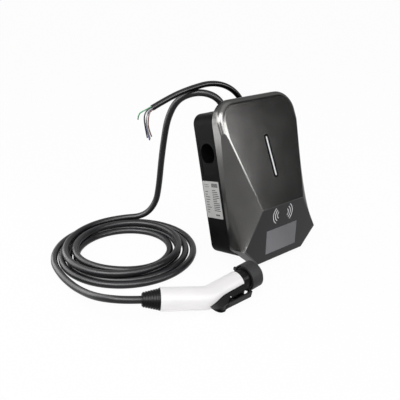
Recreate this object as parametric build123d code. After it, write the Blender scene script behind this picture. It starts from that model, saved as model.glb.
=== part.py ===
from build123d import *
from math import atan2, cos, degrees, pi, radians, sin, sqrt, tan
import os

# A charging box for a car, standing on its display end and leaning back on its housing.
# Lengths are in millimetres. The box is drawn upright in its own frame: X to the right,
# Y to the wall side, Z up, with the rear edge of the cover's lip at the origin.

# Front cover
cover_width = 240.0
cover_height = 384.0
cover_wall = 4.0
rim_wall = 2.0
rim_depth = 6.0
top_corner_r = 50.0
low_chamfer = 46.0
nose_height = 132.0
nose_depth = 70.0
nose_half = 67.0
top_depth = 21.0
lip_depth = 36.5
shoulder_in = 3.6
ridge_top = cover_height - 36.0
side_low_depth = 4.0
side_low_height = 58.0
soft_edge_r = 15.0
ridge_r = 7.0
facet_slant = 0.72

# Glass panel and what stands behind it
glass_border = 2.6
glass_thick = 3.0
screen_width = 100.0
screen_height = 60.0
screen_middle = 48.5
screen_thick = 6.0
screen_bezel = 4.0
board_thick = 1.6
panel_board_r = 3.0
display_board_width = 112.0
display_board_height = 70.0
antenna_width = 84.0
antenna_gap = 14.5
antenna_drop = 5.0
antenna_low = screen_middle + screen_height / 2 + screen_bezel + antenna_gap
antenna_height = nose_height - antenna_drop - antenna_low
antenna_middle = antenna_low + antenna_height / 2

# Light bar
light_length = 92.0
light_middle = 114.0
light_width = 3.8
light_frame = 3.0
light_proud = 0.4
light_board_width = 16.0
light_board_over = 7.0

# Rear housing
housing_half = 110.0
housing_depth = 82.0
housing_top = cover_height - 25.0
housing_corner_r = 24.0
housing_wall = 4.0
lip_overhang = 20.0
flange_thick = 3.0
fit = 0.3
seal_width = 3.0

# Cable bay and glands at the end of the housing
bay_left = -78.0
bay_right = 52.0
bay_front = 12.0
bay_back = housing_depth - 12.0
bay_depth = 36.0
bay_wall = 3.0
bay_corner_r = 8.0
gland_y = (bay_front + bay_back) / 2
charge_gland_x = -45.0
supply_gland_x = 17.0
charge_cable_d = 16.0
supply_cable_d = 13.5
gland_flange = 4.0
gland_nut = 12.0
gland_tail = 11.0
gland_lock = 5.0
gland_wall = 4.5
gland_hex = 4.0
gland_nut_hex = 3.0

# Plug holster in the left side
holster_r = 24.5
holster_flat = 22.0
holster_depth = 58.0
holster_wall = 2.5
holster_clear = 5.0
holster_y = housing_depth - housing_wall - holster_r - holster_wall - holster_clear
holster_drop = 91.0
holster_z = housing_top - holster_drop
plate_width = 54.0
plate_height = 86.0
plate_drop = 11.0
plate_corner_r = 3.0
plate_thick = 1.2
plate_recess = 2.0

# Fixing to the wall
wall_hole_r = 3.3
wall_pitch = 170.0
wall_middle = 140.0
wall_pad_r = 9.0
wall_pad_thick = 3.0

# Cover screws
screw_r = 1.9
screw_head_r = 3.8
screw_head = 2.5
screw_length = 13.0
screw_gap = 0.2
boss_r = 4.6
top_screw_x = 68.0
top_screw_z = cover_height - 13.5
low_screw_x = 56.0
low_screw_z = 11.5

# Main board and its parts
board_left = -38.0
board_right = 76.0
board_low = 62.0
board_drop = 57.0
board_top = housing_top - board_drop
board_corner_r = 4.0
board_stand = 8.0
post_r = 4.0
post_in = 8.0
board_screw_r = 1.2
board_screw_length = 6.0
relay_size = (30.0, 26.0, 44.0)
relay_pitch = 33.0
relay_in = 21.0
terminal_size = (86.0, 24.0, 28.0)
terminal_in = 12.0
terminal_ways = 5
terminal_hole_r = 3.5
sensor_r = 20.0
sensor_hole_r = 12.0
sensor_thick = 16.0
sensor_in = 23.0
power_size = (52.0, 24.0, 40.0)
power_in = 14.0
power_x_in = 32.0
capacitor_r = 8.0
capacitor_length = 25.0
capacitor_pitch = 22.4
capacitor_in = 14.0
lead_r = 2.6
lead_out = 6.0
part_gap = 0.5
edge_r = 1.5

# Plug, drawn along X with its handle bending towards +Y
shell_r = 24.2
shell_wall = 3.0
shell_gap = 0.7
bend_back = 83.0
bend_angle = 31.0
bend_r = 40.0
handle_length = 98.0
collar_r = 23.0
collar_length = 20.0
carrier_in = 30.0
snout_r = 22.0
snout_front = 44.0
snout_bore_r = 19.0
snout_bevel = 1.0
contact_recess = 2.0
contact_length = 40.0
sleeve_set = 3.0
sleeve_bore = 0.55
cap_r = 30.0
cap_wall = 2.5
cap_start = 21.0
cap_length = 33.0
cap_bevel = 4.5
cap_sleeve = 2.0
cap_lug = 7.0
cap_lug_thick = 5.0
cap_lug_hole_r = 1.6
run_gap = 0.4
relief_length = 36.0
relief_r = 22.4
relief_end_r = 15.5
relief_ribs = 7
relief_spigot = 10.0
relief_taper = 0.5
relief_groove = 2.4
rib_share = 0.62
keel_half = 14.0
keel_wall = 2.6
keel_floor = 1.4
keel_rim = 34.0
keel_tail_rim = 40.5
keel_tail = 68.0
keel_taper = 50.0
keel_heel = 75.0
keel_tip = 94.0
seat_gap = 0.1
pivot_x = -50.0
pivot_y = -32.0
pivot_r = 1.5
lever_half = 8.0
lever_gap = 0.9
lever_hub_r = 4.4
lever_front = 54.0
lever_rise = 11.0
lever_thick = 4.5
lever_tail = 36.0
pad_start = 8.0
pad_recess = 1.0
pad_ribs = 4
pad_rib_width = 10.4
rib_r = 0.9
hook_drop = 11.0
hook_thick = 3.5
spring_wire_r = 0.4
spring_turns = 4
spring_pitch = 0.88
switch_size = (20.0, 7.0, 12.0)

# How the box stands, and where the plug and the coil lie
lean = degrees(atan2(lip_overhang, housing_depth))
plug_origin = (-185.0, -149.5, 28.8)
plug_yaw = 2.0
plug_pitch = 3.3
plug_roll = 16.0
coil_middle = (-280.0, 148.0)
coil_inner_r = 98.0
coil_outer_r = 186.0
coil_height = 32.0
coil_round = 12.0
core_d = 3.0
core_ring = 3.9
floor_gap = 0.3
outlet_run = 30.0
core_run = 9.0
bend_share = 0.45


# Small helpers

from_below = (Align.CENTER, Align.CENTER, Align.MIN)


def prism(face, front, back):
    """A face of the box's front view, carried from one depth to another."""
    return Pos(0, back, 0) * extrude(Plane.XZ * face, back - front)


def block(size, centre):
    """A box of the given size about a point."""
    return Pos(*centre) * Box(*size)


def rod(radius, start, end):
    """A round bar from one point to another."""
    start, end = Vector(*start), Vector(*end)
    path = end - start
    return Plane(start, z_dir=path) * Cylinder(radius, path.length, align=from_below)


def slope_plane(low, high):
    """The plane through two level lines, each given as depth and height, facing the front."""
    along = Vector(0, low[0] - high[0], high[1] - low[1])
    return Plane((0, -low[0], low[1]), x_dir=(1, 0, 0), z_dir=Vector(1, 0, 0).cross(along))


front_plane = slope_plane((nose_depth, nose_height), (top_depth, cover_height))
panel_plane = slope_plane((lip_depth, 0), (nose_depth, nose_height))
panel_rise = sqrt(nose_height ** 2 + (nose_depth - lip_depth) ** 2) / nose_height


def front_depth(height):
    """Depth of the main front plane at a height."""
    return nose_depth + (top_depth - nose_depth) * (height - nose_height) / (cover_height - nose_height)


def panel_depth(height):
    """Depth of the panel plane at a height."""
    return lip_depth + (nose_depth - lip_depth) * height / nose_height


# Front cover

def cover_outline(inset):
    half = cover_width / 2 - inset
    low, top = inset, cover_height - inset
    cut = low_chamfer - inset * (2 - sqrt(2))
    right = [(half - cut, low), (half, low + cut), (half, top)]
    left = [(-x, z) for x, z in reversed(right)]
    outline = make_face(Polyline(*right, *left, close=True))
    return fillet(outline.vertices().sort_by(Axis.Y)[-2:], top_corner_r - inset)


def in_front(plane, inset):
    space = 3 * cover_height
    return plane.offset(-inset) * Box(space, space, space, align=from_below)


def facet_cutter(inset):
    """The space outside one twisted side facet, which is ruled between four corners."""
    half = cover_width / 2
    nose = Vector(-nose_half, -nose_depth, nose_height)
    top = Vector(-half, -front_depth(ridge_top), ridge_top)
    shoulder = Vector(shoulder_in - half, -panel_depth(low_chamfer), low_chamfer)
    low = Vector(-half, -side_low_depth, side_low_height)
    out = Vector(-half, -half, 0)
    shift = Vector(facet_slant, facet_slant, 0) * inset

    def patch(u, v):
        inner = nose * (1 - v) + shoulder * v
        outer = top * (1 - v) + low * v
        return inner * (1 - u) + outer * u + shift

    ends = []
    for u in (-0.15, 1.3):
        a, b = patch(u, -0.3), patch(u, 1.15)
        ends.append(make_face(Polyline(a, b, b + out, a + out, close=True)))
    left = loft(ends, ruled=True)
    return left + mirror(left, about=Plane.YZ)


def facing(solid, plane):
    """The face of a solid that lies in a plane."""
    def off_plane(face):
        return abs(plane.to_local_coords(face.center()).Z) + 1 - face.normal_at().dot(plane.z_dir)

    return solid.faces().sort_by(off_plane)[0]


def cover_form(inset, seat, soft):
    form = prism(cover_outline(inset), -2 * nose_depth, 0) - in_front(front_plane, inset)
    if soft:
        rim = facing(form, front_plane).edges().filter_by(lambda e: e.center().Z > low_chamfer)
        form = fillet(rim, soft_edge_r)
    form -= in_front(panel_plane, inset + seat)
    form -= facet_cutter(inset)
    if soft:
        ridges = facing(form, front_plane).edges().filter_by(
            lambda e: nose_height < e.center().Z < ridge_top and abs(e.center().X) > nose_half / 2)
        form = fillet(ridges, ridge_r)
    return form


def panel_point(x, height):
    return (x, height * panel_rise)


def glass_outline(border):
    half = cover_width / 2
    corners = [(nose_half, nose_height), (half - shoulder_in, low_chamfer), (half - low_chamfer, 0)]
    right = [panel_point(*c) for c in corners]
    left = [(-x, y) for x, y in reversed(right)]
    return offset(make_face(Polyline(*right, *left, close=True)), -border, kind=Kind.INTERSECTION)


def on_panel(face, behind, thick):
    """A plate of the given outline, lying behind the panel plane."""
    return panel_plane.offset(-behind) * extrude(face, -thick)


def on_front(face, behind, thick):
    """A plate of the given outline, lying behind the main front plane."""
    return front_plane.offset(-behind) * extrude(face, -thick)


def light_outline(grow):
    return Pos(0, light_middle) * SlotOverall(light_length + 2 * grow, light_width + 2 * grow, rotation=90)


screw_places = [(x, z) for x, z in ((top_screw_x, top_screw_z), (-top_screw_x, top_screw_z),
                                    (low_screw_x, low_screw_z), (-low_screw_x, low_screw_z))]


def make_front_cover():
    solid = cover_form(0, 0, True)
    inner = cover_form(cover_wall, glass_thick, False)
    hollow = inner
    for x, z in screw_places:
        hollow -= rod(boss_r, (x, -flange_thick, z), (x, -2 * nose_depth, z))
    solid -= hollow
    solid -= prism(cover_outline(rim_wall), -rim_depth, 0)
    for x, z in screw_places:
        solid -= rod(screw_r + screw_gap, (x, 0, z), (x, -flange_thick - screw_length, z))
    solid -= on_panel(glass_outline(glass_border - fit), 0, glass_thick)
    window = Pos(0, screen_middle) * Rectangle(screen_width, screen_height)
    solid -= on_panel(window, 0, 3 * cover_wall)
    solid -= on_front(light_outline(light_frame + fit), 0, 3 * cover_wall)
    return solid


def make_cover_screws():
    screws = []
    for x, z in screw_places:
        screw = rod(screw_head_r, (x, 0, z), (x, screw_head, z))
        screws.append(screw + rod(screw_r, (x, 0, z), (x, -screw_length, z)))
    return screws


# Panel, display and light bar

def make_glass_panel():
    return on_panel(glass_outline(glass_border), 0, glass_thick)


def make_screen():
    middle = Pos(0, screen_middle)
    face = middle * Rectangle(screen_width - 2 * fit, screen_height - 2 * fit)
    back = middle * Rectangle(screen_width + 2 * screen_bezel, screen_height + 2 * screen_bezel)
    behind_wall = glass_thick + cover_wall
    return on_panel(face, glass_thick, cover_wall) + on_panel(back, behind_wall, screen_thick)


def make_display_board():
    board = RectangleRounded(display_board_width, display_board_height, panel_board_r)
    return on_panel(Pos(0, screen_middle) * board, glass_thick + cover_wall + screen_thick, board_thick)


def make_antenna_board():
    outer = Pos(0, antenna_middle) * RectangleRounded(antenna_width, antenna_height, panel_board_r)
    return on_panel(outer, glass_thick + cover_wall, board_thick)


def make_light_frame():
    ring = light_outline(light_frame) - light_outline(fit)
    return on_front(ring, -light_proud, light_proud + cover_wall)


def make_light_guide():
    return on_front(light_outline(0), -light_proud / 2, light_proud / 2 + cover_wall)


def make_light_board():
    height = light_length + 2 * light_board_over
    strip = Pos(0, light_middle) * RectangleRounded(light_board_width, height, panel_board_r)
    return on_front(strip, cover_wall, board_thick)


# Rear housing

def housing_outline(inset):
    low, top = lip_overhang + inset, housing_top - inset
    middle = Pos(0, (low + top) / 2)
    return middle * RectangleRounded(2 * (housing_half - inset), top - low, housing_corner_r - inset)


def bay_face(grow):
    length = bay_right - bay_left + 2 * grow
    depth = bay_back - bay_front + 2 * grow
    middle = Pos((bay_left + bay_right) / 2, (bay_front + bay_back) / 2)
    return middle * RectangleRounded(length, depth, bay_corner_r + grow)


bay_floor = housing_top - bay_depth
glands = [(charge_gland_x, charge_cable_d), (supply_gland_x, supply_cable_d)]


def barrel_r(cable_d):
    return cable_d / 2 + gland_wall


def holster_profile(grow):
    """A round mouth with a flat on its lower side, in the left side's own plane."""
    mouth = Circle(holster_r + grow)
    keep = Rectangle(4 * holster_r, 4 * holster_r, align=(Align.CENTER, Align.MIN))
    return mouth & Pos(0, -holster_flat - grow) * keep


def side_plane(inset):
    return Plane((inset - housing_half, holster_y, holster_z), x_dir=(0, -1, 0), z_dir=(-1, 0, 0))


def side_plate_face(grow):
    width, height = plate_width + 2 * grow, plate_height + 2 * grow
    return Pos(0, -plate_drop) * RectangleRounded(width, height, plate_corner_r + grow)


sides = (-1, 1)
wall_holes = [(i * wall_pitch / 2, wall_middle + j * wall_pitch / 2) for i in sides for j in sides]
board_back = housing_depth - housing_wall - board_stand
board_front = board_back - board_thick
post_columns = (board_left + post_in, board_right - post_in)
post_rows = (board_low + post_in, board_top - post_in)
board_posts = [(x, z) for x in post_columns for z in post_rows]


def make_rear_housing():
    inner_back = housing_depth - housing_wall
    solid = prism(housing_outline(0), 0, housing_depth)
    solid += prism(cover_outline(rim_wall + fit), -flange_thick, 0)
    solid -= prism(housing_outline(housing_wall), -flange_thick, inner_back)
    bay = Pos(0, 0, bay_floor - bay_wall) * extrude(bay_face(bay_wall), bay_depth + bay_wall - housing_wall)
    solid += bay
    solid -= Pos(0, 0, bay_floor) * extrude(bay_face(0), bay_depth)
    for x, z in wall_holes:
        solid += rod(wall_pad_r, (x, inner_back - wall_pad_thick, z), (x, inner_back, z))
    for x, z in wall_holes:
        solid -= rod(wall_hole_r, (x, 0, z), (x, housing_depth, z))
    for x, z in board_posts:
        solid += rod(post_r, (x, board_back, z), (x, inner_back, z))
        solid -= rod(board_screw_r + screw_gap, (x, board_back, z), (x, board_back + board_screw_length, z))
    for x, cable_d in glands:
        hole_r = barrel_r(cable_d) + fit
        solid -= rod(hole_r, (x, gland_y, bay_floor - 2 * bay_wall), (x, gland_y, bay_floor + bay_wall))
    solid -= side_plane(0) * extrude(side_plate_face(fit), -plate_recess)
    solid -= side_plane(0) * extrude(holster_profile(holster_wall + fit), -2 * housing_wall)
    for x, z in screw_places:
        solid -= rod(screw_r + screw_gap, (x, -2 * flange_thick, z), (x, flange_thick, z))
    return solid


def make_cover_seal():
    outer, inner = cover_outline(rim_wall + fit), cover_outline(rim_wall + fit + seal_width)
    return prism(outer - inner, -rim_depth, -flange_thick)


def make_holster():
    plate = side_plane(plate_recess) * extrude(side_plate_face(0), plate_thick)
    cup = side_plane(plate_recess) * extrude(holster_profile(holster_wall), -holster_depth)
    mouth = side_plane(plate_recess - plate_thick)
    hollow = mouth * extrude(holster_profile(0), holster_wall - holster_depth)
    return plate + cup - hollow


# Glands: a hexagon flange and threaded tail, a domed nut outside and a lock nut inside

def make_gland_body(x, cable_d):
    r = barrel_r(cable_d)
    flange = extrude(RegularPolygon(r + gland_hex, 6), gland_flange)
    tail = Pos(0, 0, -gland_tail) * Cylinder(r, gland_tail, align=(Align.CENTER, Align.CENTER, Align.MIN))
    bore = Cylinder(cable_d / 2 + fit, 4 * gland_tail)
    return Pos(x, gland_y, bay_floor) * (flange + tail - bore)


def make_gland_nut(x, cable_d):
    r = barrel_r(cable_d)
    nut = extrude(RegularPolygon(r + gland_nut_hex, 6), gland_nut)
    nut = nut & Pos(0, 0, gland_nut - 2 * r) * Sphere(2 * r)
    return Pos(x, gland_y, bay_floor + gland_flange) * nut


def make_gland_lock(x, cable_d):
    r = barrel_r(cable_d)
    ring = extrude(RegularPolygon(r + gland_hex, 6) - Circle(r + fit), gland_lock)
    return Pos(x, gland_y, bay_floor - bay_wall - gland_lock) * ring


# Main board and what it carries

board_middle = (board_left + board_right) / 2


def make_main_board():
    outline = RectangleRounded(board_right - board_left, board_top - board_low, board_corner_r)
    board = prism(Pos(board_middle, (board_low + board_top) / 2) * outline, board_front, board_back)
    for x, z in board_posts:
        board -= rod(board_screw_r + screw_gap, (x, board_front, z), (x, board_back, z))
    return board


def make_board_screws():
    screws = []
    for x, z in board_posts:
        head = rod(2 * board_screw_r, (x, board_front - board_screw_r, z), (x, board_front, z))
        end = board_front + board_screw_length
        screws.append(head + rod(board_screw_r, (x, board_front, z), (x, end, z)))
    return screws


terminal_z = board_top - terminal_in - terminal_size[2] / 2
power_z = board_low + power_in + power_size[2] / 2
middle_row_z = (terminal_z - terminal_size[2] / 2 + power_z + power_size[2] / 2) / 2


def on_board(size, x, z):
    """A body of width, depth and height that stands on the main board."""
    return block(size, (x, board_front - size[1] / 2, z))


def make_relays():
    relays = []
    for place in range(2):
        relay = on_board(relay_size, board_left + relay_in + place * relay_pitch, middle_row_z)
        relays.append(fillet(relay.faces().sort_by(Axis.Y)[0].edges(), edge_r))
    return relays


def make_terminal_block():
    width, depth, _ = terminal_size
    body = on_board(terminal_size, board_middle, terminal_z)
    pitch = width / terminal_ways
    for way in range(terminal_ways):
        x = board_middle + (way - (terminal_ways - 1) / 2) * pitch
        y = board_front - depth / 2
        body -= rod(terminal_hole_r, (x, y, terminal_z), (x, y, terminal_z + terminal_size[2]))
        screw_z = terminal_z + terminal_hole_r
        body -= rod(terminal_hole_r, (x, y, screw_z), (x, y - depth, screw_z))
    return body


def make_leakage_sensor():
    x, z = board_right - sensor_in, middle_row_z
    ring = rod(sensor_r, (x, board_front, z), (x, board_front - sensor_thick, z))
    return ring - rod(sensor_hole_r, (x, board_back, z), (x, 0, z))


def make_power_supply():
    body = on_board(power_size, board_left + power_x_in, power_z)
    return fillet(body.faces().sort_by(Axis.Y)[0].edges(), edge_r)


def make_capacitors():
    cans = []
    for place in range(2):
        x = board_right - capacitor_in - place * capacitor_pitch
        front = board_front - capacitor_length
        can = rod(capacitor_r, (x, board_front, power_z), (x, front, power_z))
        cans.append(fillet(can.edges().sort_by(Axis.Y)[0], edge_r))
    return cans


def make_supply_leads():
    """Straight cores from the supply gland down into the terminal block."""
    leads = []
    y = board_front - terminal_size[1] / 2
    pitch = terminal_size[0] / terminal_ways
    for way in range(terminal_ways):
        x = board_middle + (way - (terminal_ways - 1) / 2) * pitch
        top = terminal_z + terminal_size[2] / 2 + lead_out
        leads.append(rod(lead_r, (x, y, terminal_z + part_gap), (x, y, top)))
    return leads


# Plug: a round shell bent in the middle, with the latch in a boat-shaped keel below

def along_handle(distance):
    """A point of the handle's axis at a distance from the bend."""
    return (-bend_back - distance * cos(radians(bend_angle)), distance * sin(radians(bend_angle)), 0)


def shell_form(radius):
    """A round bar along the plug's bent axis."""
    path = FilletPolyline((0, 0, 0), (-bend_back, 0, 0), along_handle(handle_length), radius=bend_r)
    return sweep(Plane(path @ 0, z_dir=path % 0) * Circle(radius), path)


def make_shell(keep):
    shell = shell_form(shell_r) - shell_form(shell_r - shell_wall)
    return split(shell, bisect_by=Plane.XY, keep=keep)


def keel_column(inset, front):
    """A column downwards on the keel's boat outline, from its front end to its pointed tail."""
    half, tip = keel_half - inset, keel_tip - 2 * inset
    start = (-keel_taper, half)
    side = TangentArc(start, (-tip, 0), tangent=(-1, 0))
    other = mirror(side, Plane.XZ)
    front_end = Polyline(start, (front, half), (front, -half), (-keel_taper, -half))
    face = Plane.XZ * make_face(side + other + front_end)
    return extrude(face, 2 * keel_tail_rim, dir=(0, -1, 0))


def turned(points):
    """A solid turned about X from a half profile of (x, radius) points."""
    return revolve(make_face(Polyline(*points, close=True)), Axis.X)


def make_carrier():
    inside_r = shell_r - shell_wall - shell_gap
    inside = [(-carrier_in, snout_bore_r), (-carrier_in, inside_r), (0, inside_r)]
    collar = [(0, collar_r), (collar_length, collar_r)]
    snout = [(collar_length, snout_r), (snout_front - snout_bevel, snout_r),
             (snout_front, snout_r - snout_bevel), (snout_front, snout_bore_r)]
    return turned(inside + collar + snout)


power_contact_r = 4.2
earth_contact_r = 3.6
signal_contact_r = 2.8
contact_places = [
    (-7.0, 6.8, power_contact_r),
    (7.0, 6.8, power_contact_r),
    (0.0, -10.5, earth_contact_r),
    (-10.5, -5.5, signal_contact_r),
    (10.5, -5.5, signal_contact_r),
]


def make_contact_block():
    front = snout_front - contact_recess
    body = rod(snout_bore_r - fit / 2, (front - contact_length, 0, 0), (front, 0, 0))
    for y, z, r in contact_places:
        body -= rod(r, (0, y, z), (front, y, z))
    return body


def make_contacts():
    front = snout_front - contact_recess
    sleeves = []
    for y, z, r in contact_places:
        sleeve = rod(r - fit / 2, (0, y, z), (front - sleeve_set, y, z))
        sleeves.append(sleeve - rod(sleeve_bore * r, (front / 3, y, z), (front, y, z)))
    return sleeves


def make_dust_cap():
    end = cap_start + cap_length
    floor = end - cap_wall
    sleeve_in, sleeve_out = snout_r + run_gap, snout_r + run_gap + cap_sleeve
    inner_r = cap_r - cap_wall
    rim, moat_floor = cap_start + cap_sleeve, floor - cap_sleeve
    outside = [(cap_start, inner_r), (cap_start, cap_r), (end - cap_bevel, cap_r)]
    closed_end = [(end, cap_r - cap_bevel), (end, 0)]
    sleeve = [(floor, 0), (floor, sleeve_in), (rim, sleeve_in), (rim, sleeve_out)]
    moat = [(moat_floor, sleeve_out), (moat_floor, inner_r - edge_r), (moat_floor - edge_r, inner_r)]
    cap = turned(outside + closed_end + sleeve + moat)
    lug_place = Pos(cap_start + cap_lug / 2, cap_r + cap_lug / 2 - cap_wall / 2, 0)
    lug = lug_place * Box(cap_lug, cap_lug, cap_lug_thick)
    lug = fillet(lug.edges().filter_by(Axis.Z).sort_by(Axis.Y)[-2:], 0.45 * cap_lug)
    hole = lug_place * Cylinder(cap_lug_hole_r, 2 * cap_lug_thick)
    return cap + lug - hole


def block_above(level):
    """Everything of the plug above a level of Y."""
    reach = 4 * keel_tip
    return block((reach, reach, reach), (0, level + reach / 2, 0))


def make_latch_frame():
    """The black keel that seats on the shell: two walls, a floor and a pointed tail round the lever."""
    heel, tip = (-keel_heel, -keel_tail_rim), (-keel_tip, -shell_r)
    tail = TangentArc(heel, tip, tangent=(-1, 0))
    front = [(0, 0), (0, -keel_rim), (pivot_x - lever_hub_r, -keel_rim), (-keel_tail, -keel_tail_rim)]
    rim = Polyline(tip, (-keel_tip, 0), *front, heel)
    side = extrude(make_face(tail + rim), 2 * keel_half, both=True)
    keel = (keel_column(0, 0) & side) - shell_form(shell_r + seat_gap)
    channel = keel_column(keel_wall, shell_r) - block_above(-shell_r - keel_floor)
    return keel - channel - Pos(pivot_x, pivot_y, 0) * Cylinder(pivot_r + screw_gap / 2, 4 * keel_half)


def make_latch_pin():
    return Pos(pivot_x, pivot_y, 0) * Cylinder(pivot_r, 2 * (keel_half - fit))


def lever_outline():
    """Side view of the lever: hook and arm in front of the pin, thumb pad behind it."""
    nose, tail = pivot_x + lever_front, pivot_x - lever_tail
    out, pad = pivot_y - lever_rise, pad_recess - keel_tail_rim
    pad_front, pad_rear = (pivot_x - pad_start, pad), (-keel_tail - lever_thick, pad)
    back = TangentArc(pad_rear, (tail, pivot_y), tangent=(-1, 0))
    hook = [(nose - hook_thick / 3, out), (nose, out + hook_thick / 3), (nose, out + hook_drop),
            (nose - hook_thick, out + hook_drop), (nose - 1.5 * hook_thick, out + lever_thick)]
    under = [(pivot_x + 2 * lever_hub_r, out + lever_thick), (pivot_x, pivot_y), (tail, pivot_y)]
    arm = Polyline(pad_rear, pad_front, *hook, *under)
    return make_face(back + arm)


def make_latch_lever():
    """A bent arm on the pin, as wide as the keel's channel lets it be."""
    lever = extrude(lever_outline(), lever_half, both=True)
    lever &= keel_column(keel_wall + lever_gap, shell_r)
    lever += Pos(pivot_x, pivot_y, 0) * Cylinder(lever_hub_r, 2 * (keel_half - keel_wall - lever_gap))
    lever -= Pos(pivot_x, pivot_y, 0) * Cylinder(pivot_r + fit, 4 * lever_half)
    lever -= Pos(pivot_x, pivot_y, 0) * Cylinder(lever_hub_r + fit, lever_half)
    step = (keel_tail + pivot_x - pad_start) / pad_ribs
    for rib in range(pad_ribs):
        x = pivot_x - pad_start - (rib + 0.5) * step
        lever -= Pos(x, pad_recess - keel_tail_rim, 0) * Cylinder(rib_r, pad_rib_width)
    return lever


def make_latch_spring():
    """A torsion spring round the pin, inside the lever's hub."""
    radius = pivot_r + fit + spring_wire_r
    coil = Helix(spring_pitch, spring_pitch * spring_turns, radius)
    wire = sweep(Plane(coil @ 0, z_dir=coil % 0) * Circle(spring_wire_r), coil)
    return Pos(pivot_x, pivot_y, -spring_pitch * spring_turns / 2) * wire


def make_proximity_switch():
    length, depth, width = switch_size
    seat = sqrt((shell_r - shell_wall) ** 2 - (width / 2) ** 2) - fit
    return block((length, depth, width), (pivot_x, depth / 2 - seat, 0))


def make_strain_relief():
    """A tapered, ribbed boot at the handle's end, with a spigot inside the shell."""
    step = relief_length / relief_ribs
    spigot_r = shell_r - shell_wall - shell_gap
    points = [(-relief_spigot, 0), (-relief_spigot, spigot_r), (0, spigot_r)]
    for rib in range(relief_ribs):
        r = relief_r + (relief_end_r - relief_r) * rib / (relief_ribs - 1)
        x = rib * step
        groove = x + rib_share * step
        points += [(x, r), (groove, r - relief_taper)]
        points += [(groove, r - relief_groove), (x + step, r - relief_groove)]
    points += [(relief_length, 0)]
    boot = turned(points)
    end = Vector(*along_handle(handle_length))
    back = (-cos(radians(bend_angle)), sin(radians(bend_angle)), 0)
    return Plane(end, x_dir=back, z_dir=(0, 0, 1)) * boot


# Cables: straight runs joined by tangent arcs

def outlet_points(x):
    """Where a cable comes out of its gland's nut, with the box standing, and the end of its first run."""
    top = bay_floor + gland_flange + gland_nut
    ends = [Pos(x, gland_y, height) for height in (top, top + outlet_run)]
    return [tuple((stand * tilt * place).position) for place in ends]


def bend_radii(points):
    """The largest radius that each corner's two runs allow."""
    radii = []
    for before, corner, after in zip(points, points[1:], points[2:]):
        run_in, run_out = Vector(*corner) - Vector(*before), Vector(*after) - Vector(*corner)
        half_turn = radians(run_in.get_angle(run_out)) / 2
        radii.append(bend_share * min(run_in.length, run_out.length) / tan(half_turn))
    return radii


def cable(name, points, diameter):
    radii = bend_radii(points)
    path = FilletPolyline(*points, radius=radii)
    tube = sweep(Plane(path @ 0, z_dir=path % 0) * Circle(diameter / 2), path)
    ratio = tube.volume / (pi * diameter ** 2 / 4 * path.length)
    print(name, "length", round(path.length, 1), "volume ratio", round(ratio, 4))
    print(name, "radii", [round(r, 1) for r in radii])
    return tube


def charging_route():
    """Control points from the charging gland, over its bend and down behind the box to the coil."""
    start, first = outlet_points(charge_gland_x)
    over = [(-65, 76, 375), (-97, 100.8, 383), (-121, 132.4, 364), (-130, 158, 316)]
    down = [(-133, 184, 254), (-138, 208, 190), (-143, 228, 126), (-150, 243, 74), (-178, 258, 36)]
    return [start, first] + over + down


def tail_route():
    """Control points from the coil to the plug's boot."""
    boot = handle_length + relief_length
    handle = [along_handle(boot + outlet_run), along_handle(boot)]
    last = [tuple(plug_plane().from_local_coords(Vector(*point))) for point in handle]
    out = [(-452.5, 86, 9), (-449.5, 52, 12), (-448, 16, 20), (-444.4, -20, 30), (-433, -52, 37.5)]
    return out + last


def supply_route():
    """Control points from the supply gland, over the corner of the box to the cut end."""
    start, first = outlet_points(supply_gland_x)
    over = [(-12, 76, 392), (-60, 88, 409), (-112, 103, 398)]
    return [start, first] + over + [(-160, 117, 376), (-205, 124, 356)]


def core_route(index):
    """Control points of one core, from its place in the cut end to its tip."""
    before, end = [Vector(*p) for p in supply_route()[-2:]]
    ahead = (end - before).normalized()
    side = Vector(0, 0, 1).cross(ahead).normalized()
    turn = radians(90 + 72 * index)
    start = end + (side * cos(turn) + ahead.cross(side) * sin(turn)) * core_ring
    middle, low, tip = core_points[index]
    return [tuple(start), tuple(start + ahead * core_run), middle, low, tip]


core_names = ["earth_core", "black_core", "blue_core", "brown_core", "grey_core"]
core_points = [
    [(-226, 125, 353), (-236, 133, 346), (-232, 142, 331)],
    [(-227, 131, 342), (-231, 133, 318), (-224, 135, 288)],
    [(-219, 129, 335), (-219, 130, 311), (-210, 131, 281)],
    [(-218, 119, 335), (-214, 119, 313), (-204, 120, 291)],
    [(-226, 117, 342), (-227, 116, 318), (-219, 115, 290)],
]


def make_coil():
    width = coil_outer_r - coil_inner_r
    section = RectangleRounded(width, coil_height - 2 * floor_gap, coil_round)
    section = Pos((coil_inner_r + coil_outer_r) / 2, coil_height / 2) * section
    return Pos(*coil_middle, 0) * revolve(Plane.XZ * section, Axis.Z)


# Placing: the box leans back on its housing's lower edge, and stands centred on the origin

def upright_box():
    parts = {
        "front_cover": make_front_cover(),
        "glass_panel": make_glass_panel(),
        "screen_module": make_screen(),
        "display_board": make_display_board(),
        "card_antenna_board": make_antenna_board(),
        "light_bar_frame": make_light_frame(),
        "light_bar_guide": make_light_guide(),
        "light_bar_board": make_light_board(),
        "rear_housing": make_rear_housing(),
        "cover_seal": make_cover_seal(),
        "cover_screws": make_cover_screws(),
        "plug_holster": make_holster(),
        "main_board": make_main_board(),
        "board_screws": make_board_screws(),
        "relays": make_relays(),
        "terminal_block": make_terminal_block(),
        "leakage_sensor": make_leakage_sensor(),
        "power_supply": make_power_supply(),
        "capacitors": make_capacitors(),
        "supply_leads": make_supply_leads(),
    }
    for name, gland in zip(("charging", "supply"), glands):
        parts[name + "_gland_body"] = make_gland_body(*gland)
        parts[name + "_gland_nut"] = make_gland_nut(*gland)
        parts[name + "_gland_lock_nut"] = make_gland_lock(*gland)
    return parts


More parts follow.
